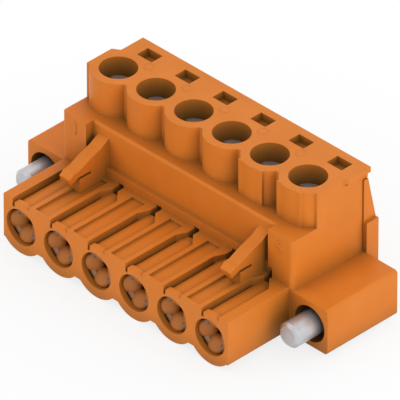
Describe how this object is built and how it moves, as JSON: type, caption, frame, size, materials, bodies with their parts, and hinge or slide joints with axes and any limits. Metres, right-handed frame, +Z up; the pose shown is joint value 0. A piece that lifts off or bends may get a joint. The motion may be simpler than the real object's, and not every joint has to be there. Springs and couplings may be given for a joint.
{
  "type": "pluggable terminal block",
  "caption": "Female plug half of a pluggable terminal block: sockets at the front, screw clamps reached from above, latch hooks and a captive screw in the flange at each end.",
  "frame": {"origin": "middle of the underside, at the centre of the bounding box's base", "axes": "+X along the row of poles, -Y out of the mating face, +Z up towards the clamp screws"},
  "size_m": [0.0402, 0.0194, 0.0151],
  "materials": {
    "moulding": "fine satin moulding",
    "contact_strip": "tin-plated strip",
    "yoke_steel": "zinc-plated steel",
    "screw_steel": "zinc-plated steel",
    "flange_screw_steel": "bright zinc-plated steel"
  },
  "bodies": {
    "housing": {"housing": "moulding", "rear_cover": "moulding", "contact_1": "contact_strip", "contact_2": "contact_strip", "contact_3": "contact_strip", "contact_4": "contact_strip", "contact_5": "contact_strip", "contact_6": "contact_strip"},
    "clamp_screw_1": {"clamp_screw_1": "screw_steel"},
    "clamp_yoke_1": {"clamp_yoke_1": "yoke_steel"},
    "clamp_screw_2": {"clamp_screw_2": "screw_steel"},
    "clamp_yoke_2": {"clamp_yoke_2": "yoke_steel"},
    "clamp_screw_3": {"clamp_screw_3": "screw_steel"},
    "clamp_yoke_3": {"clamp_yoke_3": "yoke_steel"},
    "clamp_screw_4": {"clamp_screw_4": "screw_steel"},
    "clamp_yoke_4": {"clamp_yoke_4": "yoke_steel"},
    "clamp_screw_5": {"clamp_screw_5": "screw_steel"},
    "clamp_yoke_5": {"clamp_yoke_5": "yoke_steel"},
    "clamp_screw_6": {"clamp_screw_6": "screw_steel"},
    "clamp_yoke_6": {"clamp_yoke_6": "yoke_steel"},
    "flange_screw_left": {"flange_screw_left": "flange_screw_steel"},
    "flange_screw_right": {"flange_screw_right": "flange_screw_steel"}
  },
  "joints": [
    {"name": "clamp_screw_1_turn", "type": "hinge", "parent": "housing", "child": "clamp_screw_1", "pos_m": [-0.0127, 0.00345, 0.0132], "axis": [0, 0, -1], "range_deg": [0, 1760]},
    {"name": "clamp_yoke_1_lift", "type": "slide", "parent": "housing", "child": "clamp_yoke_1", "axis": [0, 0, 1], "range_m": [0, 0.0022]},
    {"name": "clamp_screw_2_turn", "type": "hinge", "parent": "housing", "child": "clamp_screw_2", "pos_m": [-0.00762, 0.00345, 0.0132], "axis": [0, 0, -1], "range_deg": [0, 1760]},
    {"name": "clamp_yoke_2_lift", "type": "slide", "parent": "housing", "child": "clamp_yoke_2", "axis": [0, 0, 1], "range_m": [0, 0.0022]},
    {"name": "clamp_screw_3_turn", "type": "hinge", "parent": "housing", "child": "clamp_screw_3", "pos_m": [-0.00254, 0.00345, 0.0132], "axis": [0, 0, -1], "range_deg": [0, 1760]},
    {"name": "clamp_yoke_3_lift", "type": "slide", "parent": "housing", "child": "clamp_yoke_3", "axis": [0, 0, 1], "range_m": [0, 0.0022]},
    {"name": "clamp_screw_4_turn", "type": "hinge", "parent": "housing", "child": "clamp_screw_4", "pos_m": [0.00254, 0.00345, 0.0132], "axis": [0, 0, -1], "range_deg": [0, 1760]},
    {"name": "clamp_yoke_4_lift", "type": "slide", "parent": "housing", "child": "clamp_yoke_4", "axis": [0, 0, 1], "range_m": [0, 0.0022]},
    {"name": "clamp_screw_5_turn", "type": "hinge", "parent": "housing", "child": "clamp_screw_5", "pos_m": [0.00762, 0.00345, 0.0132], "axis": [0, 0, -1], "range_deg": [0, 1760]},
    {"name": "clamp_yoke_5_lift", "type": "slide", "parent": "housing", "child": "clamp_yoke_5", "axis": [0, 0, 1], "range_m": [0, 0.0022]},
    {"name": "clamp_screw_6_turn", "type": "hinge", "parent": "housing", "child": "clamp_screw_6", "pos_m": [0.0127, 0.00345, 0.0132], "axis": [0, 0, -1], "range_deg": [0, 1760]},
    {"name": "clamp_yoke_6_lift", "type": "slide", "parent": "housing", "child": "clamp_yoke_6", "axis": [0, 0, 1], "range_m": [0, 0.0022]},
    {"name": "flange_screw_left_turn", "type": "hinge", "parent": "housing", "child": "flange_screw_left", "pos_m": [-0.01778, -0.00141, 0.003], "axis": [0, 1, 0], "continuous": true},
    {"name": "flange_screw_right_turn", "type": "hinge", "parent": "housing", "child": "flange_screw_right", "pos_m": [0.01778, -0.00141, 0.003], "axis": [0, 1, 0], "continuous": true}
  ],
  "couplings": [
    {"joint": "clamp_screw_1_turn", "follows": "clamp_yoke_1_lift", "rad_per_m": 13962},
    {"joint": "clamp_screw_2_turn", "follows": "clamp_yoke_2_lift", "rad_per_m": 13962},
    {"joint": "clamp_screw_3_turn", "follows": "clamp_yoke_3_lift", "rad_per_m": 13962},
    {"joint": "clamp_screw_4_turn", "follows": "clamp_yoke_4_lift", "rad_per_m": 13962},
    {"joint": "clamp_screw_5_turn", "follows": "clamp_yoke_5_lift", "rad_per_m": 13962},
    {"joint": "clamp_screw_6_turn", "follows": "clamp_yoke_6_lift", "rad_per_m": 13962}
  ]
}
